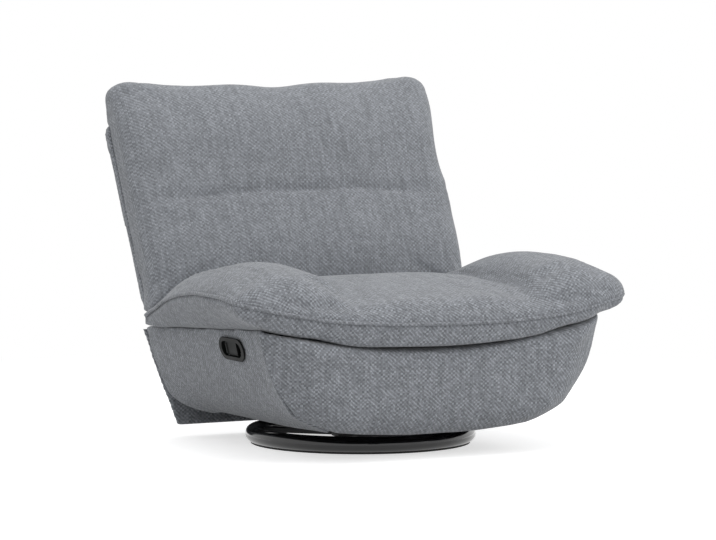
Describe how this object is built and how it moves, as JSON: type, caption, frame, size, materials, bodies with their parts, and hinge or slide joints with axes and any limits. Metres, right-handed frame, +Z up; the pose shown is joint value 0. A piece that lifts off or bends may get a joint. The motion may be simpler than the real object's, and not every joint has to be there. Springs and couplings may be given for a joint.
{
  "type": "swivel rocker recliner",
  "caption": "Upholstered recliner with a winged seat and a raked cushion back on a round ring base; it swivels, rocks on springs, reclines and swings out a footrest on links by a side release.",
  "frame": {"origin": "on the floor, where the swivel axis meets it", "axes": "+Z up along the swivel axis, -Y towards the front of the seat, +X to the sitter's left"},
  "size_m": [1.106, 1.0708, 0.9244],
  "materials": {
    "ring_black": "gloss black powder coat",
    "frame_black": "semi-gloss black paint",
    "zinc_steel": "zinc-plated steel",
    "spring_steel": "oiled spring wire",
    "black_plastic": "satin moulded plastic",
    "strip_rubber": "matt rubber",
    "cable_sleeve": "extruded sleeve",
    "hardwood": "planed hardwood",
    "webbing": "woven elastic webbing",
    "grey_weave": "coarse woven chenille"
  },
  "bodies": {
    "base": {"floor_strip": "strip_rubber", "base_ring": "ring_black", "base_spider": "frame_black", "lower_race": "zinc_steel", "king_bolt": "zinc_steel", "king_nut": "zinc_steel"},
    "ball_ring": {"ball_cage": "black_plastic", "bearing_balls": "zinc_steel"},
    "turntable": {"upper_race": "zinc_steel", "turntable_plate": "frame_black", "rocker_ears": "frame_black", "rocker_pin": "zinc_steel", "spring_seats": "zinc_steel", "rocker_springs": "spring_steel"},
    "seat": {"rocker_beam_left": "frame_black", "rocker_beam_right": "frame_black", "pivot_bushes": "black_plastic", "spring_bridges": "frame_black", "cross_tubes": "frame_black", "side_plate_left": "frame_black", "side_plate_right": "frame_black", "side_rail_left": "hardwood", "side_rail_right": "hardwood", "front_rail": "hardwood", "rear_rail": "hardwood", "seat_springs": "spring_steel", "seat_cushion": "grey_weave", "side_panel_left": "grey_weave", "side_panel_right": "grey_weave", "rear_board": "grey_weave", "release_bezel": "black_plastic", "release_cable": "cable_sleeve", "paddle_pin": "zinc_steel", "back_hinge_pins": "zinc_steel"},
    "back": {"back_stile_left": "hardwood", "back_stile_right": "hardwood", "back_top_rail": "hardwood", "back_lower_rail": "hardwood", "back_webbing": "webbing", "back_cushion": "grey_weave", "back_shell": "grey_weave", "back_bracket_left": "frame_black", "back_bracket_right": "frame_black"},
    "front_links": {"front_link_left": "frame_black", "front_link_right": "frame_black", "torque_tube": "frame_black"},
    "rear_links": {"rear_link_left": "frame_black", "rear_link_right": "frame_black"},
    "carrier_links": {"carrier_link_left": "frame_black", "carrier_link_right": "frame_black"},
    "guide_links": {"guide_link_left": "frame_black", "guide_link_right": "frame_black"},
    "footrest": {"footrest_bracket_left": "frame_black", "footrest_bracket_right": "frame_black", "footrest_board": "hardwood", "footrest_pad": "grey_weave"},
    "release_lever": {"release_paddle": "black_plastic"},
    "latch": {"latch_pawl": "frame_black"}
  },
  "joints": [
    {"name": "swivel", "type": "hinge", "parent": "base", "child": "turntable", "pos_m": [0, 0, 0], "axis": [0, 0, 1], "continuous": true},
    {"name": "ball_roll", "type": "hinge", "parent": "base", "child": "ball_ring", "pos_m": [0, 0, 0], "axis": [0, 0, 1], "continuous": true},
    {"name": "rock", "type": "hinge", "parent": "turntable", "child": "seat", "pos_m": [0, 0, 0.096], "axis": [1, 0, 0], "range_deg": [-5, 5], "stiffness_Nm_per_rad": 900, "springref_deg": 0.95, "deforming": ["rocker_springs"]},
    {"name": "back_recline", "type": "hinge", "parent": "seat", "child": "back", "pos_m": [0, 0.3, 0.31], "axis": [-1, 0, 0], "range_deg": [0, 38]},
    {"name": "footrest_extend", "type": "hinge", "parent": "seat", "child": "front_links", "pos_m": [0, -0.21, 0.272], "axis": [-1, 0, 0], "range_deg": [0, 105]},
    {"name": "rear_link_swing", "type": "hinge", "parent": "seat", "child": "rear_links", "pos_m": [0, -0.13255, 0.25197], "axis": [-1, 0, 0], "range_deg": [0, 105]},
    {"name": "carrier_swing", "type": "hinge", "parent": "front_links", "child": "carrier_links", "pos_m": [0, -0.09918, 0.13016], "axis": [-1, 0, 0], "range_deg": [-105, 0]},
    {"name": "guide_swing", "type": "hinge", "parent": "front_links", "child": "guide_links", "pos_m": [0, -0.12689, 0.16562], "axis": [-1, 0, 0], "range_deg": [-105, 0]},
    {"name": "footrest_tilt", "type": "hinge", "parent": "carrier_links", "child": "footrest", "pos_m": [0, -0.323, 0.24], "axis": [-1, 0, 0], "range_deg": [0, 105]},
    {"name": "release_pull", "type": "hinge", "parent": "seat", "child": "release_lever", "pos_m": [-0.45827, -0.1525, 0.27945], "axis": [0.2419, 0, -0.9703], "range_deg": [0, 30], "stiffness_Nm_per_rad": 0.6},
    {"name": "latch_lift", "type": "hinge", "parent": "seat", "child": "latch", "pos_m": [-0.293, -0.08, 0.24507], "axis": [1, 0, 0], "range_deg": [0, 18]}
  ],
  "couplings": [
    {"joint": "ball_roll", "follows": "swivel", "ratio": 0.5},
    {"joint": "rear_link_swing", "follows": "footrest_extend", "ratio": 1},
    {"joint": "carrier_swing", "follows": "footrest_extend", "ratio": -1},
    {"joint": "guide_swing", "follows": "footrest_extend", "ratio": -1},
    {"joint": "footrest_tilt", "follows": "footrest_extend", "ratio": 1},
    {"joint": "latch_lift", "follows": "release_pull", "ratio": 0.6}
  ]
}
